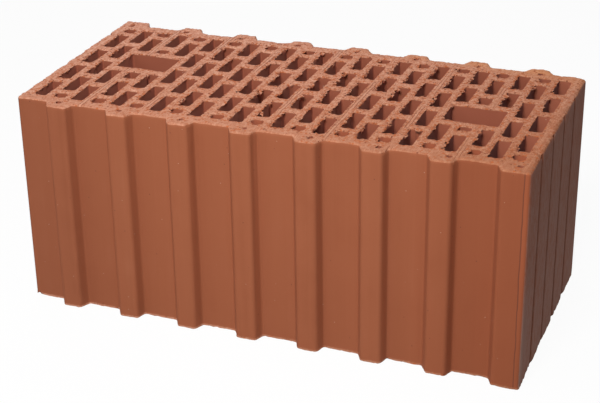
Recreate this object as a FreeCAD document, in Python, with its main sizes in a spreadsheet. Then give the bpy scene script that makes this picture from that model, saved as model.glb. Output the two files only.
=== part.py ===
import FreeCAD, Part
import math
import os
import Sketcher

# Hollow clay block: one fired piece, extruded upright and cut to height.
# X runs along the length, Y across the width, Z up. The lower cut face lies on z = 0
# and the block is centred on the Z axis, so half a turn about Z maps it onto itself.

# Driving dimensions in millimetres
SIZES = [
    ("block_length", 510.0, "end face to end face"),
    ("core_width", 228.0, "between the valley faces of the two long sides"),
    ("block_height", 219.0, "cut face to cut face"),
    ("corner_radius", 2.0, "upright corners of the end faces"),
    ("tongue_depth", 11.0, "valley face to tongue tip"),
    ("tongue_root", 29.0, "width of a tongue at the valley face"),
    ("end_tongue", 32.0, "width of the last tongue, which ends flush with the end face"),
    ("left_flank", 6.0, "how far a front tongue's left flank leans in from root to tip"),
    ("right_flank", 4.0, "how far its right flank leans in"),
    ("tongue_pitch", 63.64, "tongue to tongue"),
    ("tip_radius", 3.5, "tongue tip corners"),
    ("root_radius", 2.5, "hollow corners where a tongue meets the valley face"),
    ("dowel_bore", 6.0, "round channel behind each tongue"),
    ("dowel_inset", 2.0, "channel centre inside the valley face"),
    ("dowel_margin", 12.0, "last channel centre to the end face"),
    ("dowel_pitch", 64.7, "channel to channel"),
    ("void_width", 13.0, "all slots, along X"),
    ("thin_web", 7.2, "between slots of one group of three columns"),
    ("thick_web", 8.6, "between two groups"),
    ("short_void", 12.0, "short slot, along Y"),
    ("short_web", 8.0, "between the short slot and its neighbour"),
    ("long_void", 38.0, "long slot, along Y"),
    ("cross_web", 10.0, "between long slots and beside the grips"),
    ("void_corner", 1.5, "cut corners of the slots, one leg"),
    ("grip_corner", 1.2, "cut corners of the grip holes, one leg"),
    ("key_width", 6.5, "plaster key groove at the end face"),
    ("key_depth", 3.0, "plaster key groove into the end face"),
    ("key_radius", 0.8, "bottom of the plaster key groove"),
    ("key_pitch", 46.5, "plaster key groove to groove"),
    ("key_margin", 35.0, "valley face to the first plaster key groove"),
]
TONGUES = 8
KEYS = 4
COLUMNS = 24
GRIP_COLUMNS = (2, 3, 4)

doc = FreeCAD.newDocument("hollow_clay_block")
sheet = doc.addObject("Spreadsheet::Sheet", "sizes")


class Length:
    """A length with its value now and the sheet expression that drives it."""

    def __init__(self, value, text):
        self.value = value
        self.text = text

    def join(self, other, sign):
        if not isinstance(other, Length):
            other = Length(float(other), repr(float(other)))
        value = self.value + (other.value if sign == "+" else -other.value)
        return Length(value, f"({self.text} {sign} {other.text})")

    def __add__(self, other):
        return self.join(other, "+")

    def __sub__(self, other):
        return self.join(other, "-")

    def __neg__(self):
        return Length(-self.value, f"(0 - {self.text})")

    def __mul__(self, factor):
        return Length(self.value * factor, f"({self.text} * {factor})")

    def __truediv__(self, factor):
        return Length(self.value / factor, f"({self.text} / {factor})")


def fill_sheet():
    """Writes the dimensions into the sheet and returns them by name."""
    lengths = {}
    for row, (name, value, meaning) in enumerate(SIZES, start=1):
        sheet.set(f"A{row}", name)
        sheet.set(f"B{row}", str(value))
        sheet.set(f"C{row}", meaning)
        sheet.setAlias(f"B{row}", name)
        lengths[name] = Length(value, f"sizes.{name}")
    doc.recompute()
    return lengths


size = fill_sheet()
body = doc.addObject("PartDesign::Body", "hollow_clay_block")
body.Label = "hollow_clay_block"


def origin_feature(role):
    """The origin plane or axis of the body that has this role."""
    return next(item for item in body.Origin.OriginFeatures if item.Role == role)


def plan_sketch(name):
    """A sketch on the lower cut face."""
    sketch = body.newObject("Sketcher::SketchObject", name)
    sketch.AttachmentSupport = [(origin_feature("XY_Plane"), "")]
    sketch.MapMode = "FlatFace"
    return sketch


def arc_centre(before, corner, after, radius):
    """Centre and two tangent points of the arc that rounds a corner."""
    into = (before - corner).normalize()
    out = (after - corner).normalize()
    half = into.getAngle(out) / 2
    reach = radius / math.tan(half)
    middle = (into + out).normalize()
    centre = corner + middle * (radius / math.sin(half))
    return centre, corner + into * reach, corner + out * reach


def tangent_arc(centre, start, end, corner):
    """The arc from start to end around centre that bulges towards the corner."""
    radius = (start - centre).Length
    bulge = centre + (corner - centre).normalize() * radius
    return Part.Arc(start, bulge, end)


def drive(sketch, dimensions):
    """Adds dimensions (kind, items, length) that follow the sheet."""
    first = sketch.ConstraintCount
    sketch.addConstraint([Sketcher.Constraint(kind, *items, length.value) for kind, items, length in dimensions])
    for index, (kind, items, length) in enumerate(dimensions, start=first):
        sketch.setExpression(f"Constraints[{index}]", length.text)


def draw_outline(sketch, corners):
    """Adds a closed outline whose corners (x, y, radius or None) follow the sheet."""
    points = [FreeCAD.Vector(x.value, y.value, 0) for x, y, radius in corners]
    count = len(points)
    ends = []
    for n, (x, y, radius) in enumerate(corners):
        if radius is None:
            ends.append((None, points[n], points[n]))
        else:
            around = (points[n - 1], points[n], points[(n + 1) % count])
            ends.append(arc_centre(*around, radius.value))

    lines = []
    for n in range(count):
        segment = Part.LineSegment(ends[n][2], ends[(n + 1) % count][1])
        lines.append(sketch.addGeometry(segment, False))

    driven = []
    constraints = []
    for n, (x, y, radius) in enumerate(corners):
        before = lines[n - 1]
        after = lines[n]
        if radius is None:
            constraints.append(Sketcher.Constraint("Coincident", before, 2, after, 1))
            mark = (after, 1)
        else:
            centre, start, end = ends[n]
            arc = sketch.addGeometry(tangent_arc(centre, start, end, points[n]), False)
            turn = (points[n] - points[n - 1]).cross(points[(n + 1) % count] - points[n]).z
            first, last = (1, 2) if turn > 0 else (2, 1)
            point = sketch.addGeometry(Part.Point(points[n]), True)
            constraints.append(Sketcher.Constraint("Tangent", before, 2, arc, first))
            constraints.append(Sketcher.Constraint("Tangent", arc, last, after, 1))
            constraints.append(Sketcher.Constraint("PointOnObject", point, 1, before))
            constraints.append(Sketcher.Constraint("PointOnObject", point, 1, after))
            driven.append(("Radius", (arc,), radius))
            mark = (point, 1)
        driven.append(("DistanceX", (-1, 1, *mark), x))
        driven.append(("DistanceY", (-1, 1, *mark), y))
    sketch.addConstraint(constraints)
    drive(sketch, driven)


def draw_circle(sketch, x, y, bore):
    """Adds a circle whose centre and bore follow the sheet."""
    centre = FreeCAD.Vector(x.value, y.value, 0)
    circle = sketch.addGeometry(Part.Circle(centre, FreeCAD.Vector(0, 0, 1), bore.value / 2), False)
    drive(
        sketch,
        [
            ("DistanceX", (-1, 1, circle, 3), x),
            ("DistanceY", (-1, 1, circle, 3), y),
            ("Diameter", (circle,), bore),
        ],
    )


def draw_slot(sketch, left, right, front, back, cut):
    """Adds an upright slot with cut corners whose walls follow the sheet."""
    west, east, south, north, leg = (item.value for item in (left, right, front, back, cut))
    corners = [
        (west + leg, south),
        (east - leg, south),
        (east, south + leg),
        (east, north - leg),
        (east - leg, north),
        (west + leg, north),
        (west, north - leg),
        (west, south + leg),
    ]
    points = [FreeCAD.Vector(x, y, 0) for x, y in corners]
    lines = []
    for n in range(8):
        segment = Part.LineSegment(points[n], points[(n + 1) % 8])
        lines.append(sketch.addGeometry(segment, False))
    walls = lines[0::2]
    cuts = lines[1::2]

    constraints = [Sketcher.Constraint("Coincident", lines[n - 1], 2, lines[n], 1) for n in range(8)]
    for n in range(4):
        constraints.append(Sketcher.Constraint("Vertical" if n % 2 else "Horizontal", walls[n]))
    for n in range(3):
        constraints.append(Sketcher.Constraint("Perpendicular", cuts[n], cuts[n + 1]))
        constraints.append(Sketcher.Constraint("Equal", cuts[n], cuts[n + 1]))
    sketch.addConstraint(constraints)
    drive(
        sketch,
        [
            ("DistanceX", (-1, 1, walls[3], 1), left),
            ("DistanceX", (-1, 1, walls[1], 1), right),
            ("DistanceY", (-1, 1, walls[0], 1), front),
            ("DistanceY", (-1, 1, walls[2], 1), back),
            ("DistanceX", (cuts[0], 1, cuts[0], 2), cut),
            ("DistanceY", (cuts[0], 1, cuts[0], 2), cut),
        ],
    )


def full_height(kind, name, sketch):
    """A pad or a pocket over the whole height of the block."""
    feature = body.newObject(f"PartDesign::{kind}", name)
    feature.Profile = sketch
    feature.setExpression("Length", size["block_height"].text)
    if kind == "Pocket":
        feature.Reversed = True
        feature.Refine = False
    body.Tip = feature
    doc.recompute()
    return feature


def repeat(feature, name, axis_role, pitch, copies):
    """Copies a feature in a row, and the whole row by half a turn about the Z axis."""
    steps = []
    if copies > 1:
        row = body.newObject("PartDesign::LinearPattern", f"{name}_row")
        row.Direction = (origin_feature(axis_role), [""])
        row.setExpression("Length", (pitch * (copies - 1)).text)
        row.Occurrences = copies
        steps.append(row)
    half_turn = body.newObject("PartDesign::PolarPattern", f"{name}_half_turn")
    half_turn.Axis = (origin_feature("Z_Axis"), [""])
    half_turn.Angle = 360
    half_turn.Occurrences = 2
    steps.append(half_turn)
    pattern = body.newObject("PartDesign::MultiTransform", f"{name}_pattern")
    pattern.Originals = [feature]
    pattern.Transformations = steps
    pattern.Refine = feature.Refine
    body.Tip = pattern
    doc.recompute()


# Datum lengths
end_face = size["block_length"] / 2
valley = -size["core_width"] / 2
tip = valley - size["tongue_depth"]
column_pitch = size["void_width"] + size["thin_web"]
group_pitch = column_pitch * 2 + size["void_width"] + size["thick_web"]
first_slot = -group_pitch * (COLUMNS / 6) + size["thick_web"] / 2
row_pitch = size["long_void"] + size["cross_web"]
rows_reach = size["short_void"] + size["short_web"] + row_pitch * 3 + size["long_void"]
rows_front = -rows_reach / 2
rows_back = rows_reach / 2
grip_front = rows_front + row_pitch * 2
grip_back = grip_front + size["long_void"]
last_root = end_face - size["end_tongue"]
first_root = last_root - size["tongue_pitch"] * (TONGUES - 1)


def slot_left(column):
    """Left wall of a column of slots, counted from 0 at the left end."""
    group, place = divmod(column, 3)
    return first_slot + group_pitch * group + column_pitch * place


def slot(column, front, back):
    """Walls of a slot: left, right, front, back and the leg of its cut corners."""
    left = slot_left(column)
    return left, left + size["void_width"], front, back, size["void_corner"]


def long_slot(column, row):
    """A long slot of an even column; row 0 is the front one."""
    front = rows_front + row_pitch * row
    return slot(column, front, front + size["long_void"])


def short_slot(column):
    """The short slot at the back of an even column."""
    return slot(column, rows_back - size["short_void"], rows_back)


def grip_hole():
    """The left hand hole, over three columns and as long as their slots."""
    right = slot_left(GRIP_COLUMNS[-1]) + size["void_width"]
    return slot_left(GRIP_COLUMNS[0]), right, grip_front, grip_back, size["grip_corner"]


def column_slots(column):
    """The slots of an even column, which give way to the grips."""
    slots = [long_slot(column, 0), long_slot(column, 3), short_slot(column)]
    if column == COLUMNS - 1 - GRIP_COLUMNS[1]:
        slots.append(slot(column, rows_front + row_pitch, -grip_back - size["cross_web"]))
        slots.append(slot(column, -grip_front + size["cross_web"], grip_back))
    else:
        slots.append(long_slot(column, 1))
        if column not in GRIP_COLUMNS:
            slots.append(long_slot(column, 2))
    return slots


def half_turn(slots):
    """The same slots turned about the Z axis."""
    return [(-right, -left, -back, -front, cut) for left, right, front, back, cut in slots]


def build_core():
    sketch = plan_sketch("core_plan")
    radius = size["corner_radius"]
    draw_outline(
        sketch,
        [
            (-end_face, valley, radius),
            (end_face, valley, None),
            (end_face, -valley, radius),
            (-end_face, -valley, None),
        ],
    )
    full_height("Pad", "core", sketch)


def tongue_start(root):
    """Corners of a tongue from inside the core round its left flank."""
    flare = root - size["root_radius"] * 2
    inside = valley + size["tongue_depth"]
    return [
        (flare, inside, None),
        (flare, valley, None),
        (root, valley, size["root_radius"]),
        (root + size["left_flank"], tip, size["tip_radius"]),
    ]


def build_tongues():
    sketch = plan_sketch("tongue_plan")
    far_root = first_root + size["tongue_root"]
    far_flare = far_root + size["root_radius"] * 2
    draw_outline(
        sketch,
        tongue_start(first_root)
        + [
            (far_root - size["right_flank"], tip, size["tip_radius"]),
            (far_root, valley, size["root_radius"]),
            (far_flare, valley, None),
            (far_flare, valley + size["tongue_depth"], None),
        ],
    )
    tongue = full_height("Pad", "tongue", sketch)
    repeat(tongue, "tongue", "X_Axis", size["tongue_pitch"], TONGUES - 1)

    sketch = plan_sketch("end_tongue_plan")
    draw_outline(
        sketch,
        tongue_start(last_root)
        + [
            (end_face, tip, size["corner_radius"]),
            (end_face, valley + size["tongue_depth"], None),
        ],
    )
    end_tongue = full_height("Pad", "end_tongue", sketch)
    repeat(end_tongue, "end_tongue", "X_Axis", size["tongue_pitch"], 1)


def build_dowel_channels():
    sketch = plan_sketch("dowel_plan")
    middle = end_face - size["dowel_margin"] - size["dowel_pitch"] * (TONGUES - 1)
    draw_circle(sketch, middle, valley + size["dowel_inset"], size["dowel_bore"])
    channel = full_height("Pocket", "dowel_channel", sketch)
    repeat(channel, "dowel_channel", "X_Axis", size["dowel_pitch"], TONGUES)


def build_plaster_keys():
    sketch = plan_sketch("key_plan")
    middle = valley + size["key_margin"]
    outside = end_face + size["key_depth"]
    draw_outline(
        sketch,
        [
            (outside, middle - size["key_width"], None),
            (outside, middle + size["key_width"], None),
            (end_face - size["key_depth"], middle, size["key_radius"]),
        ],
    )
    key = full_height("Pocket", "plaster_key", sketch)
    repeat(key, "plaster_key", "Y_Axis", size["key_pitch"], KEYS)


def build_slots():
    """Even columns have the short slot at the back, odd ones are turned; one pocket cuts them all."""
    plans = {"grip": [grip_hole()] + half_turn([grip_hole()])}
    for column in range(0, COLUMNS, 2):
        plans[f"column_{column}"] = column_slots(column)
        plans[f"column_{COLUMNS - 1 - column}"] = half_turn(column_slots(column))
    sketches = []
    for name, slots in plans.items():
        sketch = plan_sketch(f"{name}_plan")
        for walls in slots:
            draw_slot(sketch, *walls)
        sketches.append((sketch, ("",)))
    die = body.newObject("PartDesign::SubShapeBinder", "die_plan")
    die.Support = sketches
    die.Fuse = False
    die.MakeFace = True
    full_height("Pocket", "slots", die)


def check_and_write():
    """Stops on any broken feature, then writes the block."""
    for item in doc.Objects:
        if "Invalid" in item.State or "Error" in item.State:
            raise RuntimeError(f"{item.Name} did not build: {item.State}")
    shape = body.Shape
    if shape.isNull() or not shape.isValid() or len(shape.Solids) != 1:
        raise RuntimeError("the block is not one valid solid")
    os.makedirs("parts", exist_ok=True)
    shape.exportStep(f"parts/{body.Label}.step")


build_core()
build_tongues()
build_dowel_channels()
build_plaster_keys()
build_slots()
check_and_write()
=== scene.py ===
"""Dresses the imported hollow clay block: drawn clay sides, torn wire-cut faces, and the studio round it."""

import math

import bpy
import numpy as np
from mathutils import Euler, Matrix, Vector
from mathutils.geometry import delaunay_2d_cdt


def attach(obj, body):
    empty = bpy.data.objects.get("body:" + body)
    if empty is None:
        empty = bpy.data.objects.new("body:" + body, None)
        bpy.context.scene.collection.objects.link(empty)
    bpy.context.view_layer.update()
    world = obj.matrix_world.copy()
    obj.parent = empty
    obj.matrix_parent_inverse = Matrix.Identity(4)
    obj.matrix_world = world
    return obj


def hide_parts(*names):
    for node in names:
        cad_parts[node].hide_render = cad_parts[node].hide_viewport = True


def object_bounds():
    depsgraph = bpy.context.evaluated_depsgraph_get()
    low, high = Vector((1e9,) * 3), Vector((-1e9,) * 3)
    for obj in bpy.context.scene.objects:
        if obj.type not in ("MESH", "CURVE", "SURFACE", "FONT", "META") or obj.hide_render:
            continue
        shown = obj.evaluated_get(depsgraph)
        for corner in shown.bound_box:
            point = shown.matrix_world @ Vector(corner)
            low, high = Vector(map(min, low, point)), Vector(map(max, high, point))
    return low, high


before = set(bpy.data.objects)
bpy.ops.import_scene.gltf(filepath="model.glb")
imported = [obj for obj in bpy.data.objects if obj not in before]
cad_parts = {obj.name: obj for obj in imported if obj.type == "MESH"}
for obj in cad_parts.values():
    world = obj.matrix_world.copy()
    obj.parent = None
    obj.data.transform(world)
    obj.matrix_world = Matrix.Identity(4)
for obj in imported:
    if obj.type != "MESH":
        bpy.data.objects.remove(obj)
CAD_BOX = [list(corner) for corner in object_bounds()]

bl_info = {
    "name": "Hollow clay block",
    "version": (1, 0, 0),
    "blender": (4, 5, 0),
    "location": "3D View > Sidebar > Clay Block",
    "description": "Builds a fired hollow clay block with drawn sides and wire-cut faces",
    "category": "Object",
}

MM = 0.001
NODE = "hollow_clay_block"
TONGUES = 8
KEYS = 4
COLUMNS = 24
LONG_ROWS = 4
# The columns that the left grip spans. The right grip is the same one turned half round.
GRIP_COLUMNS = (2, 3, 4)

# Steps of the mesh along arcs, of the grid that finds the torn edges, and of the points on the cut faces.
ARC_STEP = math.radians(18)
GRID_STEP = 0.7 * MM
TOP_STEP = 2.1 * MM
SOLE_STEP = 3.6 * MM
# Torn loops round less than this area are left out, and edges over this angle are shaded sharp.
SMALLEST_HOLE = 8 * MM * MM
SHARP_EDGE = math.radians(48)

# Where the wire tore most, how far that reaches, and the longest burr.
ROUGHEST = 70 * MM
ROUGH_REACH = 110 * MM
LONGEST_BURR = 3.2 * MM
# A slot has a flap of clay over its edge with this chance.
FLAP_CHANCE = 0.12
# The slots' walls stray this far from where the die would put them.
STRAY = 0.22 * MM
# The strip along the ends where edges are rubbed and chipped most.
END_STRIP = 4 * MM
# Crumbs gather this close to the slots' edges.
CRUMB_REACH = 1.8 * MM
# Points on each side of the square of random numbers that the lumps come from.
LATTICE = 512


def length(name, description, default):
    """A length that a user may change."""
    return bpy.props.FloatProperty(
        name=name, description=description, default=default, unit="LENGTH", precision=5
    )


def colour(name, description, default):
    """A linear colour that a user may change."""
    return bpy.props.FloatVectorProperty(
        name=name, description=description, default=default, size=3, subtype="COLOR", min=0, max=1
    )


def number(name, description, default, unit="NONE"):
    """A plain number that a user may change."""
    return bpy.props.FloatProperty(name=name, description=description, default=default, unit=unit)


def triple(name, description, default, subtype, unit):
    """A place or a turn that a user may change."""
    return bpy.props.FloatVectorProperty(
        name=name, description=description, default=default, size=3, subtype=subtype, unit=unit
    )


class BlockSizes(bpy.types.PropertyGroup):
    """The sizes of the plan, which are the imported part's apart from the rounder upright corners."""

    length: length("Length", "Along the tongued faces", CAD_BOX[1][0] - CAD_BOX[0][0])
    width: length("Width", "Over the tongue tips", CAD_BOX[1][1] - CAD_BOX[0][1])
    height: length("Height", "Between the two cut faces", CAD_BOX[1][2] - CAD_BOX[0][2])
    corner_radius: length("Corner radius", "Rounding of the four upright corners", 3.0 * MM)
    tongue_depth: length("Tongue depth", "From the valleys to the tongue tips", 11.0 * MM)
    tongue_root: length("Tongue root", "Width of a tongue where it leaves the face", 29.0 * MM)
    end_tongue: length("End tongue", "Width of the tongue that ends flush with the end", 32.0 * MM)
    left_flank: length("Left flank", "How far a front tongue's left flank leans in", 6.0 * MM)
    right_flank: length("Right flank", "How far a front tongue's right flank leans in", 4.0 * MM)
    tongue_pitch: length("Tongue pitch", "From one tongue to the next", 63.64 * MM)
    tip_radius: length("Tip radius", "Rounding of the tongue tips", 3.5 * MM)
    root_radius: length("Root radius", "Rounding at the tongue roots", 2.5 * MM)
    channel: length("Round channel", "Diameter of the round channel behind each tongue", 6.0 * MM)
    channel_inset: length("Channel inset", "From the valley line in to the round channels", 2.0 * MM)
    channel_margin: length("Channel margin", "From the end to the last round channel", 12.0 * MM)
    channel_pitch: length("Channel pitch", "From one round channel to the next", 64.7 * MM)
    slot_width: length("Slot width", "Across one slot", 13.0 * MM)
    thin_web: length("Thin web", "Clay between two columns of slots", 7.2 * MM)
    thick_web: length("Thick web", "Clay after every third column", 8.6 * MM)
    long_slot: length("Long slot", "Length of a long slot", 38.0 * MM)
    cross_web: length("Cross web", "Clay between two long slots", 10.0 * MM)
    short_slot: length("Short slot", "Length of the slot that ends a column", 12.0 * MM)
    short_web: length("Short web", "Clay between a long and a short slot", 8.0 * MM)
    slot_radius: length("Slot radius", "Rounding of the slots' upright corners", 3.0 * MM)
    key_width: length("Key width", "Mouth of a plaster key on the ends", 6.5 * MM)
    key_depth: length("Key depth", "Depth of a plaster key", 3.0 * MM)
    key_pitch: length("Key pitch", "From one plaster key to the next", 46.5 * MM)
    key_margin: length("Key margin", "From the end's back corner to its last key", 53.5 * MM)

    @property
    def row_step(self):
        """From one long slot to the next in a column."""
        return self.long_slot + self.cross_web

    @property
    def column_length(self):
        """From the front of a column's first slot to the back of its last one."""
        return LONG_ROWS * self.row_step - self.cross_web + self.short_web + self.short_slot

    @property
    def short_back(self):
        """From the middle of the block to the inner walls of the short slots."""
        return self.column_length / 2 - self.short_slot

    @property
    def web_step(self):
        """From one thick web to the next."""
        return 3 * self.slot_width + 2 * self.thin_web + self.thick_web


class TearSettings(bpy.types.PropertyGroup):
    """How the cutting wire tore the two cut faces."""

    cell: length("Edge step", "Step of the mesh along the torn edges", 0.85 * MM)
    slot_tear: length("Slot tear", "How ragged the slots' edges are", 2.0 * MM)
    burr: length("Burr", "How far crumbs lean into the slots", 3.8 * MM)
    edge_tear: length("Edge tear", "How ragged the outer edges are", 0.35 * MM)
    edge_round: length("Edge rounding", "How far the outer edges are rubbed back", 0.5 * MM)
    relief: length("Relief", "Depth of the torn grain", 0.42 * MM)
    roll: length("Rolled edge", "How far the edges of the cut face are dragged down", 0.5 * MM)
    chip: length("End chips", "How far the ends' lower edges are chipped", 2.8 * MM)
    lip: length("Lip depth", "How far down the walls the tear reaches", 4.2 * MM)
    seed: bpy.props.IntProperty(name="Seed", description="Seed of every random choice", default=7)


class ClayColours(bpy.types.PropertyGroup):
    """The colours of the fired clay, in linear light."""

    drawn: colour("Drawn side", "Smooth clay drawn through the die", (0.335, 0.104, 0.048))
    drawn_light: colour("Drawn side, light", "Paler drag bands", (0.362, 0.119, 0.058))
    # The dark drag colour also paints the shade in the valleys between the tongues.
    drawn_dark: colour("Drawn side, dark", "Deeper drag bands", (0.305, 0.091, 0.041))
    cut: colour("Cut face", "Clay torn by the wire", (0.300, 0.079, 0.028))
    # The two light cut colours, here and for the pale cut below, are partly the grain's own tone and partly
    # painted light on the crests of the torn grain.
    cut_light: colour("Cut face, light", "Dry crests of the torn grain", (0.480, 0.222, 0.126))
    pale: colour("Pale cut", "Torn clay at the back left, where it is paler", (0.500, 0.158, 0.076))
    pale_light: colour("Pale cut, light", "Dry crests of the paler clay", (0.800, 0.435, 0.310))
    crumb: colour("Crumb", "Orange-red grains", (0.430, 0.115, 0.040))
    # The rust colour marks real holes and seams, and also paints the shade in the deepest hollows of the
    # torn grain.
    rust: colour("Rust", "Holes and seams of the torn face", (0.190, 0.050, 0.024))
    # The pit colour serves real dark specks and the crack, and also paints the shade in the plaster keys.
    pit_and_key_shade: colour("Pit", "Dark specks, keys and the crack on the drawn sides", (0.110, 0.038, 0.026))
    warm: colour("Warm edge", "Yellower clay at the back edge", (0.640, 0.270, 0.120))
    slot_wall: colour("Slot wall", "Clay inside the slots", (0.286, 0.082, 0.047))
    # These two colours are painted shade on the slots' left walls: lighter in the left half, darker towards
    # the right end.
    shade_left: colour("Shaded wall, left", "Slots' left walls in the left half", (0.410, 0.118, 0.068))
    shade: colour("Shaded wall", "Slots' left walls, duller towards the right end", (0.150, 0.062, 0.060))
    # The lit wall colour is painted light on the slots' back walls towards the right end.
    lit_wall: colour("Lit wall", "Paler back walls towards the right end", (0.420, 0.138, 0.080))
    # The glow colour is painted light: a highlight on the front right corner strip, and light on the back
    # walls of the short front slots.
    painted_light: colour("Glow", "Redder corner strip, and walls of the short front slots", (0.390, 0.102, 0.043))
    right_end_red: colour("Burnt", "Redder clay towards the right end", (0.250, 0.058, 0.022))
    dull: colour("Dull", "Duller clay towards the left end", (0.240, 0.078, 0.044))
    speck: colour("Lime speck", "Tiny pale grains on the drawn sides", (0.560, 0.400, 0.300))
    # This colour is partly grey sand on the ends and partly painted sheen, a grey reflection on the shaded
    # ends.
    end_dust_and_sheen: colour("End dust", "Grey sand on the keyed ends", (0.470, 0.340, 0.282))


class StudioSettings(bpy.types.PropertyGroup):
    """The camera, the lamps, the sky and the floor."""

    frame_width: number("Frame width", "Width of the camera's frame in millimetres", 36.0, "CAMERA")
    lens: number("Lens", "Focal length in millimetres", 90.397, "CAMERA")
    place: triple(
        "Camera place", "Where the camera stands", (0.4946, -1.2844, 0.7594), "TRANSLATION", "LENGTH"
    )
    turn: triple(
        "Camera turn", "How the camera is turned",
        (math.radians(64.227), math.radians(0.736), math.radians(20.937)), "EULER", "ROTATION"
    )
    front_power: number("Front power", "Watts of the soft lamp in front", 5.05, "POWER")
    left_power: number("Left power", "Watts of the weak lamp at the left", 1.5, "POWER")
    back_power: number("Back power", "Watts of the soft lamp at the back left", 2.6, "POWER")
    spread: number("Lamp spread", "How wide the lamps throw their light", math.radians(80), "ROTATION")
    sky: number("Sky", "Strength of the even light", 0.20)
    floor_reach: length("Floor reach", "From the middle of the floor to its edges", 9.0)
    floor_grey: number("Floor grey", "How much light the floor sends back", 0.30)
    floor_white: number("Floor white", "How far the camera sees the floor as plain white", 0.94)


class Value:
    """A socket of a shader. Python's operators on it add Math nodes."""

    def __init__(self, tree, socket=None):
        self.tree = tree
        self.socket = socket

    def node(self, kind, settings=None, sockets=None, output=0):
        """Adds a node, sets it up, then fills or links its sockets, and gives one of its outputs."""
        made = self.tree.nodes.new(kind)
        for name, setting in (settings or {}).items():
            setattr(made, name, setting)
        for name, given in (sockets or {}).items():
            if isinstance(given, Value):
                self.tree.links.new(given.socket, made.inputs[name])
            else:
                made.inputs[name].default_value = given
        return Value(self.tree, made.outputs[output] if made.outputs else None)

    def other_output(self, name):
        """Another output of the node that this value comes from."""
        return Value(self.tree, self.socket.node.outputs[name])

    def maths(self, operation, first, second=0.0):
        """A Math node on two values or numbers."""
        return self.node("ShaderNodeMath", {"operation": operation}, {0: first, 1: second})

    def __add__(self, other):
        return self.maths("ADD", self, other)

    def __radd__(self, other):
        return self.maths("ADD", other, self)

    def __sub__(self, other):
        return self.maths("SUBTRACT", self, other)

    def __rsub__(self, other):
        return self.maths("SUBTRACT", other, self)

    def __mul__(self, other):
        return self.maths("MULTIPLY", self, other)

    def __rmul__(self, other):
        return self.maths("MULTIPLY", other, self)

    def __truediv__(self, other):
        return self.maths("DIVIDE", self, other)

    def __neg__(self):
        return self.maths("MULTIPLY", self, -1.0)

    def __abs__(self):
        return self.maths("ABSOLUTE", self)

    def at_least(self, other):
        """The larger of two values."""
        return self.maths("MAXIMUM", self, other)

    def to_and_fro(self, span):
        """Rises from 0 to the span, falls back to 0, and so on."""
        return self.maths("PINGPONG", self, span)

    def step(self, low, high):
        """0 below low, 1 above high, and a smooth rise between."""
        return self.node(
            "ShaderNodeMapRange",
            {"interpolation_type": "SMOOTHSTEP"},
            {"Value": self, "From Min": low, "From Max": high},
        )

    def fade(self, low, high):
        """1 below low, 0 above high, and a smooth fall between."""
        return 1.0 - self.step(low, high)

    def blend(self, first, second):
        """Mixes two colours by this value, which counts as 0 below 0 and as 1 above 1."""
        return self.node("ShaderNodeMix", {"data_type": "RGBA"}, {0: self, 6: first, 7: second}, 2)

    def stretched(self, *scales):
        """These coordinates scaled along each axis."""
        return self.node("ShaderNodeVectorMath", {"operation": "MULTIPLY"}, {0: self, 1: scales})

    def noise(self, scale, detail=2.0, roughness=0.5):
        """Soft noise from 0 to 1 at these coordinates."""
        return self.node(
            "ShaderNodeTexNoise",
            {"noise_dimensions": "3D"},
            {"Vector": self, "Scale": scale, "Detail": detail, "Roughness": roughness},
        )

    def cells(self, scale):
        """Distance to the nearest of many scattered points."""
        return self.node("ShaderNodeTexVoronoi", {"feature": "F1"}, {"Vector": self, "Scale": scale})

    def grains(self, scale, more, chance, radius):
        """Scattered grains, which are 1 inside; where more is higher, more of the points get a grain."""
        distance = self.cells(scale)
        draw = self.node("ShaderNodeSeparateColor", None, {"Color": distance.other_output("Color")})
        return (draw + more).step(*chance) * distance.fade(*radius)


def opaque(shade):
    """A colour with full alpha."""
    return (*shade, 1.0)


def half_turned(corners):
    """Corners turned half round the middle of the block."""
    return [(-x, -y, radius) for x, y, radius in corners]


def tongue_left(size, tongue):
    """Where a front tongue leaves the face at its left."""
    return size.length / 2 - size.end_tongue - size.tongue_pitch * (TONGUES - 1 - tongue)


def outline_corners(size, keys):
    """The corners of the outline, each with its rounding, round from the front left."""
    end = size.length / 2
    tip = -size.width / 2
    valley = tip + size.tongue_depth
    half = [(-end, valley, size.corner_radius)]
    for tongue in range(TONGUES):
        root = tongue_left(size, tongue)
        half.append((root, valley, size.root_radius))
        half.append((root + size.left_flank, tip, size.tip_radius))
        if tongue < TONGUES - 1:
            half.append((root + size.tongue_root - size.right_flank, tip, size.tip_radius))
            half.append((root + size.tongue_root, valley, size.root_radius))
    half.append((end, tip, size.corner_radius))
    for key in range(keys):
        middle = -valley - size.key_margin - size.key_pitch * (keys - 1 - key)
        half.append((end, middle - size.key_width / 2, 0.0))
        half.append((end - size.key_depth, middle, 0.0))
        half.append((end, middle + size.key_width / 2, 0.0))
    return half + half_turned(half)


def rounded(corners):
    """The outline as a closed run of points, with an arc at each rounded corner."""
    points = []
    for place, (x, y, radius) in enumerate(corners):
        corner = np.array((x, y))
        if radius == 0.0:
            points.append(corner)
            continue
        before = np.array(corners[place - 1][:2]) - corner
        after = np.array(corners[(place + 1) % len(corners)][:2]) - corner
        before /= np.hypot(*before)
        after /= np.hypot(*after)
        inner = math.acos(float(np.clip(before @ after, -1.0, 1.0)))
        bisector = (before + after) / np.hypot(*(before + after))
        centre = corner + bisector * radius / math.sin(inner / 2)
        start = corner + before * radius / math.tan(inner / 2) - centre
        sweep = math.pi - inner
        turn = np.sign(before[1] * after[0] - before[0] * after[1])
        count = max(2, math.ceil(sweep / ARC_STEP))
        for part in range(count + 1):
            angle = turn * sweep * part / count
            spin = np.array(((math.cos(angle), -math.sin(angle)), (math.sin(angle), math.cos(angle))))
            points.append(centre + spin @ start)
    return np.array(points)


def slot_left(size, column):
    """The left wall of a column of slots."""
    group, place = divmod(column, 3)
    span = size.web_step * (COLUMNS // 3) - size.thick_web
    return -span / 2 + size.web_step * group + (size.slot_width + size.thin_web) * place


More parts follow.
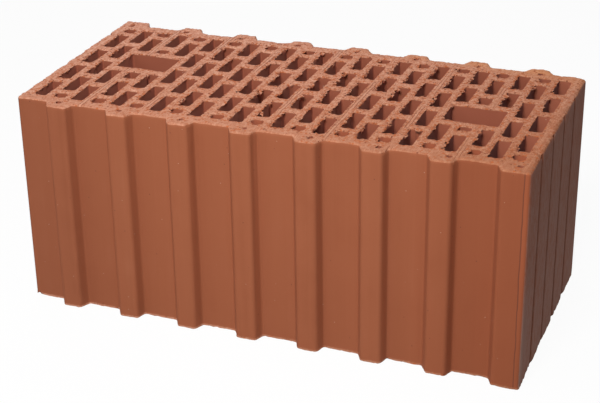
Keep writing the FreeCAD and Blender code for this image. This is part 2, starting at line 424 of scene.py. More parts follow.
def column_spans(size, column):
    """Front and back of each long slot of an even column, which give way to the grips."""
    first = -size.column_length / 2
    starts = [first + size.row_step * row for row in range(LONG_ROWS)]
    spans = [(start, start + size.long_slot) for start in starts]
    if column in GRIP_COLUMNS:
        del spans[2]
    if column == COLUMNS - 1 - GRIP_COLUMNS[1]:
        grip_front, grip_back = -spans[2][1], -spans[2][0]
        spans[1] = (spans[1][0], grip_front - size.cross_web)
        spans[2] = (grip_back + size.cross_web, spans[2][1])
    return spans


def slot_layout(size):
    """Each opening as left, front, right and back, and the radii of its left and right corners."""
    first = -size.column_length / 2
    radii = (0.5 * size.slot_radius, size.slot_radius)
    blunt = (1.5 * size.slot_radius, 1.5 * size.slot_radius)
    half = []
    for column in range(0, COLUMNS, 2):
        left = slot_left(size, column)
        right = left + size.slot_width
        half += [(left, front, right, back, *radii) for front, back in column_spans(size, column)]
        half.append((left, -first - size.short_slot, right, -first, *blunt))
    grip_front = first + 2 * size.row_step
    grip_left, grip_end = (slot_left(size, GRIP_COLUMNS[place]) for place in (0, -1))
    half.append((grip_left, grip_front, grip_end + size.slot_width, grip_front + size.long_slot, *radii))
    radius = size.channel / 2
    round_off = (0.98 * radius, 0.98 * radius)
    y = -size.width / 2 + size.tongue_depth + size.channel_inset
    for tongue in range(TONGUES):
        x = size.length / 2 - size.channel_margin - size.channel_pitch * (TONGUES - 1 - tongue)
        half.append((x - radius, y - radius, x + radius, y + radius, *round_off))
    turned = [(-right, -back, -left, -front, *rounding) for left, front, right, back, *rounding in half]
    return np.array(half + turned)


def unsteady(slots, seed):
    """The slots with the small differences that drawing, drying and firing leave."""
    chance = np.random.default_rng(seed)
    moved = slots.copy()
    moved[:, :4] += chance.normal(0.0, STRAY, (len(slots), 4))
    return moved


def lumps(x, y, step, seed):
    """Smooth noise from -1 to 1 over the plan, with lumps about one step across."""
    lattice = np.random.default_rng(seed).uniform(-1.0, 1.0, (LATTICE, LATTICE))
    left, front = np.floor(x / step).astype(int), np.floor(y / step).astype(int)
    along, up = x / step - left, y / step - front
    along, up = along * along * (3 - 2 * along), up * up * (3 - 2 * up)
    right, back = (left + 1) % LATTICE, (front + 1) % LATTICE
    left, front = left % LATTICE, front % LATTICE
    near = lattice[left, front] * (1 - along) + lattice[right, front] * along
    far = lattice[left, back] * (1 - along) + lattice[right, back] * along
    return near * (1 - up) + far * up


def outline_distance(outline, x, y):
    """Signed distance to the outline, below zero inside it."""
    nearest = np.full(x.shape, np.inf)
    inside = np.zeros(x.shape, bool)
    for (ax, ay), (bx, by) in zip(outline, np.roll(outline, -1, axis=0)):
        run, rise = bx - ax, by - ay
        along = ((x - ax) * run + (y - ay) * rise) / (run * run + rise * rise)
        along = np.clip(along, 0.0, 1.0)
        nearest = np.minimum(nearest, (x - ax - run * along) ** 2 + (y - ay - rise * along) ** 2)
        if rise != 0.0:
            inside ^= ((ay > y) != (by > y)) & (x < ax + run * (y - ay) / rise)
    return np.where(inside, -1.0, 1.0) * np.sqrt(nearest)


def slot_distance(slots, x, y):
    """How far a point is inside the nearest opening, below zero in the clay."""
    deepest = np.full(x.shape, -np.inf)
    for left, front, right, back, left_radius, right_radius in slots:
        radius = np.where(x < (left + right) / 2, left_radius, right_radius)
        over_x = np.abs(x - (left + right) / 2) - (right - left) / 2 + radius
        over_y = np.abs(y - (front + back) / 2) - (back - front) / 2 + radius
        outside = np.hypot(np.maximum(over_x, 0.0), np.maximum(over_y, 0.0))
        deepest = np.maximum(deepest, radius - outside - np.minimum(np.maximum(over_x, over_y), 0.0))
    return deepest


class Plan:
    """The drawn section of the block and the torn edge that the wire leaves on it."""

    def __init__(self, size, tear):
        self.size = size
        self.tear = tear
        self.outline = rounded(outline_corners(size, KEYS))
        self.rubbed = rounded(outline_corners(size, 0))
        self.slots = unsteady(slot_layout(size), tear.seed)
        self.flaps = self.pick_flaps()

    def pick_flaps(self):
        """Spots on some slots' edges where the wire smeared a flap of clay over the opening."""
        chance = np.random.default_rng(self.tear.seed + 1)
        flaps = []
        for left, front, right, back, *_ in self.slots:
            if chance.random() > FLAP_CHANCE or right - left < 10 * MM:
                continue
            along = chance.uniform(0.15, 0.85)
            spot = (left, front + along * (back - front))
            if chance.random() < 0.4:
                spot = (left + along * (right - left), chance.choice((front, back)))
            flaps.append((*spot, chance.uniform(1.6, 3.4) * MM))
        return flaps

    def distances(self, x, y, outline):
        """Signed distance to the clay's edge, and whether that edge is a slot's."""
        outer = outline_distance(outline, x, y)
        inner = slot_distance(self.slots, x, y)
        return np.maximum(outer, inner), inner > outer

    def slope(self, x, y, outline):
        """Direction away from the clay at each point."""
        step = 0.25 * MM
        across = self.distances(x + step, y, outline)[0] - self.distances(x - step, y, outline)[0]
        along = self.distances(x, y + step, outline)[0] - self.distances(x, y - step, outline)[0]
        size = np.maximum(np.hypot(across, along), 1e-9)
        return across / size, along / size

    def outside_box(self, x, y):
        """How far a point is outside the box of the block, seen from above."""
        return np.maximum(np.abs(x) - self.size.length / 2, np.abs(y) - self.size.width / 2)

    def torn_slots(self, x, y, rough, dragged):
        """How far the slots' edges are torn back, or below zero where burrs lean over them."""
        tear, seed = self.tear, self.tear.seed
        patch = 0.5 + 0.5 * lumps(x, y, 21 * MM, seed + 4)
        patch += 0.7 * np.exp(-(((x - ROUGHEST) / ROUGH_REACH) ** 2))
        burr = lumps(x, y, 2.0 * MM, seed + 5) + 0.7 * lumps(x, y, 1.1 * MM, seed + 7) - 0.15
        burr = np.clip(burr, 0.0, None) * dragged
        ragged = rough * tear.slot_tear * (0.22 + 0.78 * dragged) * patch
        return ragged - np.minimum(burr * tear.burr * patch, LONGEST_BURR)

    def torn_outline(self, rough, out_x, out_y):
        """How far the outer edges are torn and rubbed back, the right end's most."""
        at_right = out_x > 0.6
        weak = np.where((out_x < -0.6) | (out_y > 0.6), 3.2, 1.0)
        weak = np.where(at_right, 2.6, weak)
        return rough * self.tear.edge_tear * weak + self.tear.edge_round * np.where(at_right, 2.4, 1.0)

    def torn(self, x, y):
        """Signed distance to the torn edge at the cut face."""
        seed = self.tear.seed
        clean, is_slot = self.distances(x, y, self.rubbed)
        out_x, out_y = self.slope(x, y, self.rubbed)
        rough = 0.5 * lumps(x, y, 1.3 * MM, seed + 6) + 0.6 * lumps(x, y, 2.3 * MM, seed + 2)
        rough += 0.35 * lumps(x, y, 4.5 * MM, seed + 3)
        dragged = np.clip(0.95 * out_x + 0.5 * out_y, 0.0, 1.0)
        in_slot = self.torn_slots(x, y, rough, dragged)
        torn = clean + np.where(is_slot, in_slot, self.torn_outline(rough, out_x, out_y))
        for flap_x, flap_y, radius in self.flaps:
            smear = np.hypot(x - flap_x, y - flap_y) - radius + 1.6 * MM * rough
            torn = np.minimum(torn, np.maximum(smear, self.outside_box(x, y)))
        return torn

    def relief(self, x, y, seed):
        """How far the torn surface lies under the cutting plane."""
        grain = 0.5 + 0.28 * lumps(x, y, 1.7 * MM, seed) + 0.3 * lumps(x, y, 3.3 * MM, seed + 1)
        swell = 0.3 * lumps(x, y, 30 * MM, seed + 2)
        pits = np.clip(lumps(x, y, 2.2 * MM, seed + 3) - 0.55, 0.0, None) * 3.2
        weak = np.clip(lumps(x, y, 9 * MM, seed + 4) + 0.25 * lumps(x, y, 3 * MM, seed + 5), 0.0, None)
        left_or_back = np.maximum(-x / self.size.length, y / self.size.width) > 0.44
        from_edge = -outline_distance(self.outline, x, y)
        broken = np.exp(-from_edge / (2.2 * MM)) * weak * np.where(left_or_back, 3.0, 0.8)
        return np.clip(grain + swell + pits + broken, 0.05, 5.0) * self.tear.relief

    def onto_drawn_edge(self, x, y):
        """Moves points of the torn edge back to the wall that the die drew."""
        for _ in range(3):
            away = self.distances(x, y, self.outline)[0]
            out_x, out_y = self.slope(x, y, self.outline)
            x, y = x - away * out_x, y - away * out_y
        return np.stack((x, y), 1)


# The sides of a grid cell are numbered front, right, back, left. For the corners of a cell that hold clay,
# added up as 1, 2, 4 and 8 round from the front left, these are the sides where the torn edge comes in
# and goes out.
CROSSINGS = {
    1: ((0, 3),), 2: ((1, 0),), 3: ((1, 3),), 4: ((2, 1),), 5: ((0, 3), (2, 1)),
    6: ((2, 0),), 7: ((2, 3),), 8: ((3, 2),), 9: ((0, 2),), 10: ((1, 0), (3, 2)),
    11: ((1, 2),), 12: ((3, 1),), 13: ((0, 1),), 14: ((3, 0),),
}


def edge_crossings(clay):
    """For each grid side that the torn edge comes in by, the side where it leaves the cell."""
    kind = clay[:-1, :-1] + 2 * clay[1:, :-1] + 4 * clay[1:, 1:] + 8 * clay[:-1, 1:]
    ahead = {}
    for column, row in np.argwhere((kind > 0) & (kind < 15)):
        sides = (
            ((column, row), (column + 1, row)),
            ((column + 1, row), (column + 1, row + 1)),
            ((column, row + 1), (column + 1, row + 1)),
            ((column, row), (column, row + 1)),
        )
        for start, end in CROSSINGS[int(kind[column, row])]:
            ahead[sides[start]] = sides[end]
    return ahead


def torn_loops(plan):
    """The torn edges of the cut face as closed runs of points, with the clay on their left."""
    columns = math.ceil(plan.size.length / GRID_STEP) + 4
    rows = math.ceil(plan.size.width / GRID_STEP) + 4
    across = (np.arange(columns) - (columns - 1) / 2) * GRID_STEP
    along = (np.arange(rows) - (rows - 1) / 2) * GRID_STEP
    depth = plan.torn(*np.meshgrid(across, along, indexing="ij"))
    ahead, spots = edge_crossings(depth < 0), {}
    for first, second in ahead:
        part = depth[first] / (depth[first] - depth[second])
        spots[first, second] = (
            across[first[0]] + (across[second[0]] - across[first[0]]) * part,
            along[first[1]] + (along[second[1]] - along[first[1]]) * part,
        )
    loops = []
    while ahead:
        side, following = ahead.popitem()
        run = [spots[side]]
        while following in ahead:
            run.append(spots[following])
            following = ahead.pop(following)
        run = np.array(run)
        enclosed = np.sum(run[:, 0] * np.roll(run[:, 1], -1) - run[:, 1] * np.roll(run[:, 0], -1)) / 2
        if abs(enclosed) > SMALLEST_HOLE:
            loops.append(evenly(run, plan.tear.cell))
    return loops


def evenly(run, spacing):
    """A closed run of points spaced evenly, with an even count."""
    closed = np.concatenate((run, run[:1]))
    travelled = np.concatenate(([0.0], np.cumsum(np.hypot(*np.diff(closed, axis=0).T))))
    count = 2 * max(6, round(travelled[-1] / spacing / 2))
    stops = np.arange(count) * travelled[-1] / count
    return np.stack([np.interp(stops, travelled, closed[:, axis]) for axis in (0, 1)], 1)


def inner_points(plan, step, margin, seed):
    """Points spread over the clay, away from its edges."""
    size = plan.size
    chance = np.random.default_rng(seed)
    x, y = np.meshgrid(
        np.arange(-size.length / 2, size.length / 2, step), np.arange(-size.width / 2, size.width / 2, step)
    )
    x = x.ravel() + chance.uniform(-0.3, 0.3, x.size) * step
    y = y.ravel() + chance.uniform(-0.3, 0.3, y.size) * step
    keep = plan.torn(x, y) < -margin
    return np.stack((x[keep], y[keep]), 1)


def loop_sides(loops):
    """The sides of the loops as pairs of point numbers, counted on from loop to loop."""
    sides, start = [], 0
    for loop in loops:
        points = start + np.arange(len(loop))
        sides.append(np.stack((points, np.roll(points, -1)), 1))
        start += len(loop)
    return np.concatenate(sides)


def filled(plan, loops, inner):
    """Triangles over the clay between the loops, all facing up."""
    sides = loop_sides(loops)
    points = np.concatenate(loops + [inner])
    corners = [Vector(point) for point in points.tolist()]
    triangles = np.array(delaunay_2d_cdt(corners, sides.tolist(), [], 0, 1e-9)[2])
    triangles = triangles[(triangles < len(points)).all(1)]
    a, b, c = (points[triangles[:, corner]] for corner in range(3))
    turn = (b[:, 0] - a[:, 0]) * (c[:, 1] - a[:, 1]) - (b[:, 1] - a[:, 1]) * (c[:, 0] - a[:, 0])
    triangles[turn < 0] = triangles[turn < 0][:, ::-1]
    count = len(points)
    edges = np.concatenate([triangles[:, pair] for pair in ([0, 1], [1, 2], [2, 0])])
    on_loop = sides[:, 0] * count + sides[:, 1]
    within = np.isin(edges[:, 0] * count + edges[:, 1], on_loop).reshape(3, -1).any(0)
    beyond = np.isin(edges[:, 1] * count + edges[:, 0], on_loop).reshape(3, -1).any(0)
    middle = (a + b + c) / 3
    return triangles[within | (~beyond & (plan.torn(middle[:, 0], middle[:, 1]) < 0))]


def settled_walls(plan, loops):
    """The drawn wall under the torn edges, with its points spread along the wall."""
    splits = np.cumsum([len(loop) for loop in loops])[:-1]
    walls = plan.onto_drawn_edge(*np.concatenate(loops).T)
    for _ in range(2):
        spread = [
            0.5 * run + 0.25 * np.roll(run, 1, axis=0) + 0.25 * np.roll(run, -1, axis=0)
            for run in np.split(walls, splits)
        ]
        walls = plan.onto_drawn_edge(*np.concatenate(spread).T)
    return walls


def ring_faces(upper, lower):
    """Triangles between two rings of one loop; the lower ring may have half as many points."""
    upper_next, lower_next = np.roll(upper, -1), np.roll(lower, -1)
    if len(upper) == len(lower):
        return np.concatenate(
            (np.stack((upper_next, upper, lower), 1), np.stack((upper_next, lower, lower_next), 1))
        )
    first, middle, last = upper[0::2], upper[1::2], np.roll(upper[0::2], -1)
    return np.concatenate((
        np.stack((middle, first, lower), 1),
        np.stack((last, middle, lower_next), 1),
        np.stack((middle, lower, lower_next), 1),
    ))


class Skin:
    """The block as one closed skin: two torn faces and the drawn walls between them, level by level."""

    def __init__(self, plan):
        self.plan = plan
        self.loops = torn_loops(plan)
        self.counts = [len(loop) for loop in self.loops]
        self.starts = np.cumsum([0] + self.counts)
        self.halved = np.concatenate(
            [start + np.arange(0, count, 2) for start, count in zip(self.starts, self.counts)]
        )
        self.add_edges()
        self.add_top()
        self.add_sole()
        self.levels = self.stack_levels()

    def add_edges(self):
        """The torn rim, the drawn wall under it, and the sole's edge with half as many points."""
        size, tear = self.plan.size, self.plan.tear
        wall = settled_walls(self.plan, self.loops)
        low = wall[self.halved]
        nicks = np.stack([lumps(*low.T, 4 * MM, tear.seed + turn) for turn in (70, 71)], 1)
        rings = (np.concatenate(self.loops), wall, low + tear.edge_tear * nicks)
        limit = np.array((size.length / 2, size.width / 2))
        self.rim, self.wall, self.sole = (np.clip(ring, -limit, limit) for ring in rings)

    def add_top(self):
        """The upper cut face, sunk by the torn grain and dragged down along its edges."""
        plan, tear = self.plan, self.plan.tear
        inner = inner_points(plan, TOP_STEP, 1.0 * MM, tear.seed + 80)
        self.top = filled(plan, self.loops, inner)
        self.face = np.concatenate((self.rim, inner))
        grain = plan.relief(*self.face.T, tear.seed + 20)
        self.face_depth = grain / tear.relief
        at_end = np.where(self.rim[:, 0] > plan.size.length / 2 - END_STRIP, 2.5, 1.0)
        rolled = tear.roll * at_end * (0.8 + 0.6 * lumps(*self.rim.T, 6 * MM, tear.seed + 50))
        self.sunk = grain
        self.sunk[: len(self.rim)] += rolled

    def add_sole(self):
        """The lower cut face, with its edges chipped at the ends."""
        plan, tear = self.plan, self.plan.tear
        inner = inner_points(plan, SOLE_STEP, 2.0 * MM, tear.seed + 81)
        runs = np.split(self.sole, np.cumsum([count // 2 for count in self.counts])[:-1])
        self.bottom = filled(plan, runs, inner)
        self.ground = np.concatenate((self.sole, inner))
        self.raised = plan.relief(*self.ground.T, tear.seed + 40)
        chips = lumps(*self.sole.T, 8 * MM, tear.seed + 51)
        chips += 0.5 * lumps(*self.sole.T, 3 * MM, tear.seed + 52)
        reach = np.where(np.abs(self.sole[:, 0]) > plan.size.length / 2 - END_STRIP, 1.0, 0.15)
        self.raised[: len(self.sole)] += tear.chip * np.clip(chips, 0.0, 1.0) * reach

    def stack_levels(self):
        """The points of each level: cut face, ring under its edges, lip, foot of the walls, and sole."""
        height, tear = self.plan.size.height, self.plan.tear
        lean = np.hypot(*(self.wall - self.rim).T)
        stay = np.clip((lean - 0.8 * MM) / (2.0 * MM), 0.0, 0.75)
        ring = self.wall + (self.rim - self.wall) * stay[:, None]
        lip = height - tear.lip + 0.8 * MM * lumps(*self.wall.T, 5 * MM, tear.seed + 60)
        foot = self.wall[self.halved]
        return [
            np.column_stack((self.face, height - self.sunk)),
            np.column_stack((ring, height - self.sunk[: len(ring)] - 1.0 * MM - 0.9 * MM * stay)),
            np.column_stack((self.wall, lip)),
            np.column_stack((foot, np.full(len(foot), tear.lip))),
            np.column_stack((self.ground, self.raised)),
        ]

    def faces(self):
        """Triangles over both cut faces and down the walls between them."""
        firsts = np.cumsum([0] + [len(level) for level in self.levels])
        faces = [self.top, self.bottom[:, ::-1] + firsts[4]]
        for start, count in zip(self.starts, self.counts):
            fine, half = start + np.arange(count), start // 2 + np.arange(count // 2)
            rings = [fine, firsts[1] + fine, firsts[2] + fine, firsts[3] + half, firsts[4] + half]
            faces += [ring_faces(upper, lower) for upper, lower in zip(rings, rings[1:])]
        return np.concatenate(faces)

    def marks(self):
        """What the clay's colours need to know: for each mark, one number per point."""
        plan = self.plan
        in_slot = plan.distances(*self.wall.T, plan.outline)[1].astype(float)
        shaded = in_slot * np.clip(plan.slope(*self.wall.T, plan.outline)[0], 0.0, 1.0)
        from_slot = -slot_distance(plan.slots, *self.face.T)
        out_x, out_y = plan.slope(*self.face.T, plan.outline)
        crumbly = np.exp(-np.clip(from_slot, 0.0, None) / CRUMB_REACH)
        crumbly *= np.clip(0.3 * out_x + out_y, 0.0, 1.0)
        by_level = {
            "cut": (1.0, 0.3, 0.0, 0.0, 1.0),
            "inner": (0.0, in_slot, in_slot, in_slot[self.halved], 0.0),
            "shaded": (0.0, shaded, shaded, shaded[self.halved], 0.0),
            "crumbly": (crumbly, crumbly[: len(self.rim)], 0.0, 0.0, 0.0),
            "depth": (self.face_depth, 0.0, 0.0, 0.0, self.raised / plan.tear.relief),
            "edge": (from_slot, 0.0, 0.0, 0.0, -slot_distance(plan.slots, *self.ground.T)),
        }
        return {name: self.point_by_point(parts) for name, parts in by_level.items()}

    def point_by_point(self, parts):
        """One number per point, from an array or a single number for each level."""
        spread = [np.broadcast_to(part, len(level)) for part, level in zip(parts, self.levels)]
        return np.concatenate(spread)


def add_mesh(name, points, faces, marks):
    """A new object from arrays, with one number per point for each mark."""
    mesh = bpy.data.meshes.new(name)
    mesh.vertices.add(len(points))
    mesh.vertices.foreach_set("co", points.astype(np.float32).ravel())
    mesh.loops.add(faces.size)
    mesh.loops.foreach_set("vertex_index", faces.astype(np.int32).ravel())
    mesh.polygons.add(len(faces))
    mesh.polygons.foreach_set("loop_start", np.arange(0, faces.size, 3, dtype=np.int32))
    mesh.update(calc_edges=True)
    mesh.validate()
    for mark, numbers in marks.items():
        layer = mesh.attributes.new(mark, "FLOAT", "POINT")
        layer.data.foreach_set("value", numbers.astype(np.float32))
    mesh.polygons.foreach_set("use_smooth", np.ones(len(mesh.polygons), bool))
    mesh.set_sharp_from_angle(angle=SHARP_EDGE)
    made = bpy.data.objects.new(name, mesh)
    bpy.context.scene.collection.objects.link(made)
    return made


def new_material(name):
    """A material with an empty tree, and a first value in the tree."""
    material = bpy.data.materials.new(name)
    material.use_nodes = True
    material.node_tree.nodes.clear()
    return material, Value(material.node_tree)


class ClaySurface:
    """The clay's colours and grain, from where a point lies and from the marks that the mesh carries."""

    def __init__(self, start, size, shades):
        self.size = size
        self.shades = {name: opaque(getattr(shades, name)) for name in shades.__annotations__}
        place = start.node("ShaderNodeTexCoord", output="Object")
        self.place = place
        self.x = start.node("ShaderNodeSeparateXYZ", None, {"Vector": place}, "X")
        self.y = self.x.other_output("Y")
        self.to_right = self.x / size.length
        self.to_back = self.y / size.width
        self.to_top = self.x.other_output("Z") / size.height
        self.cut, self.inner, self.shaded, self.crumbly, self.depth, self.edge = (
            start.node("ShaderNodeAttribute", {"attribute_name": name}, output="Fac")
            for name in ("cut", "inner", "shaded", "crumbly", "depth", "edge")
        )
        self.streaks = place.stretched(420.0, 420.0, 6.0).noise(1.0, 2.0, 0.6)
        self.clouds = place.noise(26.0, 3.0, 0.55)
        self.sand = place.noise(900.0, 2.0, 0.6)
        self.grain = place.noise(1100.0, 2.0, 0.7)
        self.coarse = place.noise(300.0, 2.0, 0.6)
        self.ridges = place.stretched(800.0, 170.0, 800.0).noise(1.0, 2.0, 0.6)
        self.rubbed = (-self.to_back).step(0.39, 0.43)
        self.near_edge = self.edge.fade(0.3 * MM, 3.0 * MM)
        self.is_cut = (self.cut + (place.noise(380.0, 2.0, 0.5) - 0.5) * 0.3).step(0.35, 0.6)
        self.holes_and_hollow_shade = self.torn_holes_and_hollow_shade()
        self.seam, self.beside_seam = self.wire_seams()

    def over(self, base, shade, amount):
        """A colour with some of a named clay colour over it."""
        return amount.blend(base, self.shades[shade])

    def drag_bands(self):
        """Bands and streaks that the die drags along the sides, with grains of sand in them."""
        bands = self.place.stretched(60.0, 60.0, 1.6).noise(1.0, 3.0, 0.55)
        drag = bands * 0.5 + self.streaks * 0.16 + self.clouds * 0.34
        body = drag.step(0.30, 0.5).blend(self.shades["drawn_dark"], self.shades["drawn"])
        body = self.over(body, "drawn_light", drag.step(0.5, 0.70))
        return self.over(body, "drawn_dark", self.sand.step(0.55, 0.75) * 0.2)

    def ends_dust_sheen_and_shade(self, body):
        """Grey dust and painted sheen on the ends, most of it low at the front, painted shade in the valleys
        between the tongues, and painted shade in the plaster keys.
        """
        from_end = self.size.length / 2 - abs(self.x)
        # Painted sheen: a grey reflection low at the front of the ends, added to the dust.
        low_front_sheen = (-self.to_back).step(0.36, 0.48) * (1.0 - self.to_top).step(0.3, 0.8)
        dust_and_sheen = self.place.stretched(300.0, 300.0, 110.0).noise(1.0, 3.0, 0.7) * 2.4 + self.clouds * 0.6
        dust_and_sheen = dust_and_sheen - abs(self.to_back) * 0.5 + low_front_sheen * 0.5 - 0.62
        body = self.over(body, "end_dust_and_sheen", from_end.fade(0.3 * MM, 1.2 * MM) * dust_and_sheen)
        # Painted shade: the clay is darkened in the valleys between the tongues, where the tongues shade
        # them.
        from_tip = self.size.width / 2 - abs(self.y)
        valley_shade = from_tip.step(0.4 * self.size.tongue_depth, self.size.tongue_depth)
        body = self.over(body, "drawn_dark", valley_shade * 0.35)
        # Painted shade: the plaster keys on the ends are darkened where light does not reach into them.
        key_shade = from_end.fade(3.4 * MM, 4.0 * MM) * from_end.step(0.3 * MM, 1.4 * MM)
        key_shade = key_shade * abs(self.to_back).fade(0.40, 0.41)
        return self.over(body, "pit_and_key_shade", key_shade * (0.45 + self.sand * 0.8))

    def corner_crack(self, body):
        """A drying crack beside the front right corner, and a painted highlight on the redder strip between
        them.
        """
        wander = (self.place.stretched(0.0, 0.0, 30.0).noise(1.0) - 0.5) * (3.0 * MM)
        from_crack = self.x - self.size.length / 2 + 5.5 * MM + wander
        in_front = (-self.to_back).step(0.46, 0.47)
        # Painted highlight on the rounded front right corner, strongest towards the top.
        corner_highlight = 0.05 + self.to_top.step(0.1, 0.7) * 0.35
        body = self.over(body, "painted_light", from_crack.step(0.0, 1.0 * MM) * in_front * corner_highlight)
        return self.over(body, "pit_and_key_shade", abs(from_crack).fade(0.2 * MM, 0.7 * MM) * in_front * 0.7)

    def slot_walls(self, body):
        """Walls of the slots: painted shade on the left walls, which face the right end, darkest towards the
        right end and lighter in the left half; painted light on the back walls towards the right end and in
        the short front slots.
        """
        body = self.over(body, "slot_wall", self.inner * 0.8)
        # Painted shade on the slots' left walls, deepest towards the right end; towards the left end the
        # colour is lighter, as these walls catch some light there.
        shade = self.to_right.step(0.05, 0.50).blend(self.shades["shade_left"], self.shades["shade"])
        body = (self.shaded * 0.6).blend(body, shade)
        facing = self.inner * (1.0 - self.shaded)
        # Painted light on the back walls towards the right end.
        body = self.over(body, "lit_wall", facing * self.to_right.step(0.36, 0.48) * 0.4)
        # Painted light on the back walls of the short front slots, brighter towards the right end.
        short_back = facing * abs(self.y + self.size.short_back).fade(0.8 * MM, 2.0 * MM)
        return self.over(body, "painted_light", short_back * (0.45 + self.to_right * 0.4))

    def drawn(self):
        """The smooth clay of the sides and of the slots' walls."""
        body = self.ends_dust_sheen_and_shade(self.drag_bands())
        # Darker, redder clay towards the right end.
        body = self.over(body, "right_end_red", self.to_right.step(0.20, 0.49) * 0.42)
        body = self.corner_crack(body)
        body = self.over(body, "dull", (-self.to_right).step(0.20, 0.49) * 0.15)
        body = self.slot_walls(body)
        body = self.over(body, "speck", self.place.cells(85.0).fade(0.025, 0.04) * 0.9)
        return self.over(body, "pit_and_key_shade", self.place.cells(62.0).fade(0.025, 0.045) * 0.7)

    def torn_holes_and_hollow_shade(self):
        """Small holes in the cut faces, more of them near the slots, and painted shade in the deepest of the
        torn grain.
        """
        more = self.near_edge * 0.18 + self.crumbly * 0.32
        holes_and_hollow_shade = self.place.grains(440.0, more, (0.93, 0.97), (0.35, 0.55))
        # Painted shade: the deepest points of the torn grain take the dark rust colour.
        return holes_and_hollow_shade.at_least(self.depth.step(1.5, 2.4))

    def wire_seams(self):
        """Broken seams along the thick webs, and the dry ridges beside them."""
        wander = self.x + (self.place.noise(30.0, 2.0, 0.5) - 0.5) * (3.0 * MM)
        wander = wander + (self.coarse - 0.5) * (1.2 * MM)
        from_web = wander.to_and_fro(self.size.web_step / 2)
        broken = self.place.stretched(25.0, 14.0, 0.0).noise(1.0, 2.0).step(0.45, 0.55)
        seam = abs(from_web - 1.5 * MM).fade(0.2 * MM, 0.6 * MM) * broken
        seam = seam * abs(self.to_right).fade(0.40, 0.42)
        beside = abs(from_web - 0.6 * MM).fade(0.2 * MM, 0.7 * MM) * broken
        return seam, beside

    def torn(self):
        """The cut faces: lighter crests over darker hollows, partly the clay's own grain tone and partly
        painted light and shade that follow the bump, with crumbs, seams and holes in them.
        """
        # The crests follow the same noises as the bump's height, so the grain's light and shade are partly
        # painted into the colour.
        crests = self.grain * 0.22 + self.coarse * 0.40 + self.ridges * 0.38 - 0.5
        crests = crests * (4.2 - self.rubbed * 1.6) + 0.5
        paleness = self.to_back * 0.45 - self.to_right * 0.55 + self.clouds * 0.3 + 0.35
        hollow = paleness.blend(self.shades["cut"], self.shades["pale"])
        crest = paleness.blend(self.shades["cut_light"], self.shades["pale_light"])
        body = crests.blend(hollow, crest)
        warm = (self.to_back + self.to_right * 0.5).step(0.50, 0.70) * 0.4
        warm = warm + self.to_back.step(0.42, 0.46) * self.to_right.step(-0.10, 0.25) * 0.3
        body = self.over(body, "warm", warm)
        body = self.over(body, "cut", self.to_right.step(0.38, 0.46) * 0.12)
        more = self.near_edge * 0.22 + self.crumbly * 0.72
        body = self.over(body, "crumb", self.place.grains(400.0, more, (0.86, 0.94), (0.45, 0.65)) * 0.95)
        body = (self.beside_seam * 0.5).blend(body, crest)
        body = self.over(body, "rust", self.seam * 0.65)
        return self.over(body, "rust", self.holes_and_hollow_shade * 0.85)

    def relief(self):
        """Height of the fine grain, for the bump."""
        smooth = self.streaks * 0.25 + self.sand * 0.2
        rough = (self.grain * 0.3 + self.coarse * 0.4 + self.ridges * 0.4) * (1.0 - self.rubbed * 0.4)
        rough = rough - self.holes_and_hollow_shade * 0.45 - self.seam * 0.6
        return smooth + self.is_cut * (rough - smooth)


def fired_clay(size, shades):
    """Clay that is smooth and streaked where the die drew it, and grainy where the wire cut it."""
    material, start = new_material("fired_clay")
    clay = ClaySurface(start, size, shades)
    bump = {"Strength": 0.38, "Distance": 0.6 * MM, "Height": clay.relief()}
    surface = {
        "Base Color": clay.is_cut.blend(clay.drawn(), clay.torn()),
        "Roughness": 0.78 + clay.is_cut * 0.14,
        "Normal": start.node("ShaderNodeBump", None, bump, "Normal"),
        "Specular IOR Level": 0.15,
    }
    outer = start.node("ShaderNodeBsdfPrincipled", None, surface)
    bloom = {"Sheen Weight": 0.055, "Sheen Roughness": 0.5}
    bloomed = start.node("ShaderNodeBsdfPrincipled", None, {**surface, **bloom})
    mixed = start.node("ShaderNodeMixShader", None, {0: clay.inner, 1: outer, 2: bloomed})
    start.node("ShaderNodeOutputMaterial", None, {"Surface": mixed})
    return material


class CLAYBLOCK_OT_fire_block(bpy.types.Operator):
    """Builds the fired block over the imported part."""

    bl_idname = "clay_block.fire_block"
    bl_label = "Fire the block"

    def execute(self, context):
        scene = context.scene
        skin = Skin(Plan(scene.block_sizes, scene.tear_settings))
        block = add_mesh("fired_block", np.concatenate(skin.levels), skin.faces(), skin.marks())
        block.data.materials.append(fired_clay(scene.block_sizes, scene.clay_colours))
        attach(block, "root")
        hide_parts(NODE)
        return {"FINISHED"}


def seen_by_camera(start):
    """1 on rays that the camera sees directly, in a mirror or through glass."""
    camera = start.node("ShaderNodeLightPath", output="Is Camera Ray")
    glossy, through = (camera.other_output(name) for name in ("Is Glossy Ray", "Is Transmission Ray"))
    return camera.at_least(glossy).at_least(through)


def studio_floor(studio):
    """A large pale floor that looks white to the camera and keeps the block's shadow."""
    grey = studio.floor_grey
    corners = studio.floor_reach * np.array(((-1, -1, 0), (1, -1, 0), (1, 1, 0), (-1, 1, 0)))
    floor = add_mesh("floor", corners, np.array(((0, 1, 2), (0, 2, 3))), {})
    material, start = new_material("pale_floor")
    seen = seen_by_camera(start)
    tone = seen.blend((grey, grey, grey, 1.0), (0.92, 0.92, 0.92, 1.0))
    matt = start.node("ShaderNodeBsdfDiffuse", None, {"Color": tone})
    white = start.node("ShaderNodeEmission", None, {"Color": (1.0, 1.0, 1.0, 1.0), "Strength": 1.0})
    mixed = start.node("ShaderNodeMixShader", None, {0: seen * studio.floor_white, 1: matt, 2: white})
    start.node("ShaderNodeOutputMaterial", None, {"Surface": mixed})
    floor.data.materials.append(material)
    return floor


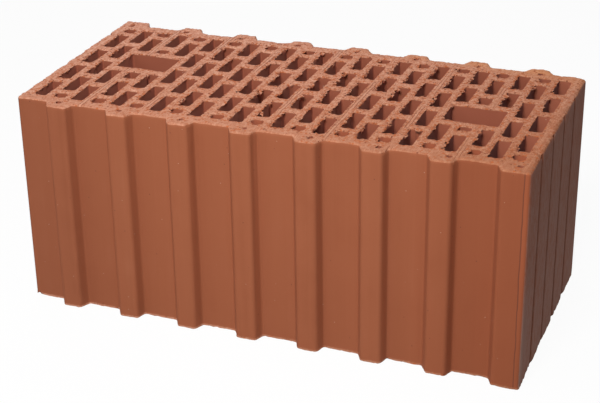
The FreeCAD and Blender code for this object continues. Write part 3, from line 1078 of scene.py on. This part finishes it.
def studio_sky(strength):
    """Even light from all round, white where the camera looks past the floor."""
    world = bpy.data.worlds.new("studio_sky")
    world.use_nodes = True
    world.node_tree.nodes.clear()
    start = Value(world.node_tree)
    even = (strength, strength * 0.98, strength * 1.02, 1.0)
    level = seen_by_camera(start).blend(even, (1.0, 1.0, 1.0, 1.0))
    light = start.node("ShaderNodeBackground", None, {"Color": level, "Strength": 1.0})
    start.node("ShaderNodeOutputWorld", None, {"Surface": light})
    return world


def soft_lamp(name, place, target, size, power, spread):
    """A square soft lamp aimed at a point."""
    lamp = bpy.data.lights.new(name, "AREA")
    lamp.size = size
    lamp.spread = spread
    lamp.energy = power
    made = bpy.data.objects.new(name, lamp)
    made.location = place
    made.rotation_euler = (Vector(target) - Vector(place)).to_track_quat("-Z", "Y").to_euler()
    bpy.context.scene.collection.objects.link(made)


def photo_camera(studio):
    """The camera that takes the block from the front right."""
    lens = bpy.data.cameras.new("photo_camera")
    lens.sensor_width = studio.frame_width
    lens.lens = studio.lens
    camera = bpy.data.objects.new("photo_camera", lens)
    camera.location = studio.place
    camera.rotation_euler = Euler(studio.turn)
    bpy.context.scene.collection.objects.link(camera)
    return camera


class CLAYBLOCK_OT_set_stage(bpy.types.Operator):
    """Sets the floor, the light and the camera."""

    bl_idname = "clay_block.set_stage"
    bl_label = "Set the stage"

    def execute(self, context):
        scene = context.scene
        studio = scene.studio_settings
        studio_floor(studio)
        scene.world = studio_sky(studio.sky)
        middle = (0.0, 0.0, scene.block_sizes.height / 2)
        lamps = (
            ("front_key", (0.15, -1.15, 1.22), 0.5, studio.front_power),
            ("back_fill", (-1.10, 1.50, 0.90), 1.2, studio.back_power),
            ("left_fill", (-1.25, -1.25, 1.20), 1.2, studio.left_power),
        )
        for name, place, size, power in lamps:
            soft_lamp(name, place, middle, size, power, studio.spread)
        scene.camera = photo_camera(studio)
        scene.view_settings.view_transform = "Standard"
        return {"FINISHED"}


GROUPS = {
    "block_sizes": BlockSizes,
    "tear_settings": TearSettings,
    "clay_colours": ClayColours,
    "studio_settings": StudioSettings,
}
OPERATORS = (CLAYBLOCK_OT_fire_block, CLAYBLOCK_OT_set_stage)


class CLAYBLOCK_PT_panel(bpy.types.Panel):
    """The block's sizes, tear, colours and stage."""

    bl_label = "Hollow clay block"
    bl_idname = "CLAYBLOCK_PT_panel"
    bl_space_type = "VIEW_3D"
    bl_region_type = "UI"
    bl_category = "Clay Block"

    def draw(self, context):
        for name in GROUPS:
            group = getattr(context.scene, name)
            box = self.layout.box()
            for setting in group.__annotations__:
                box.prop(group, setting)
        for operator in OPERATORS:
            self.layout.operator(operator.bl_idname)


def register():
    """Registers the property groups, the operators and the panel."""
    for name, group in GROUPS.items():
        bpy.utils.register_class(group)
        setattr(bpy.types.Scene, name, bpy.props.PointerProperty(type=group))
    for operator in OPERATORS:
        bpy.utils.register_class(operator)
    bpy.utils.register_class(CLAYBLOCK_PT_panel)


def unregister():
    """Takes them out again."""
    bpy.utils.unregister_class(CLAYBLOCK_PT_panel)
    for operator in reversed(OPERATORS):
        bpy.utils.unregister_class(operator)
    for name, group in GROUPS.items():
        delattr(bpy.types.Scene, name)
        bpy.utils.unregister_class(group)


def main():
    """Builds the block and its stage."""
    register()
    bpy.ops.clay_block.fire_block()
    bpy.ops.clay_block.set_stage()


if __name__ == "__main__":
    main()
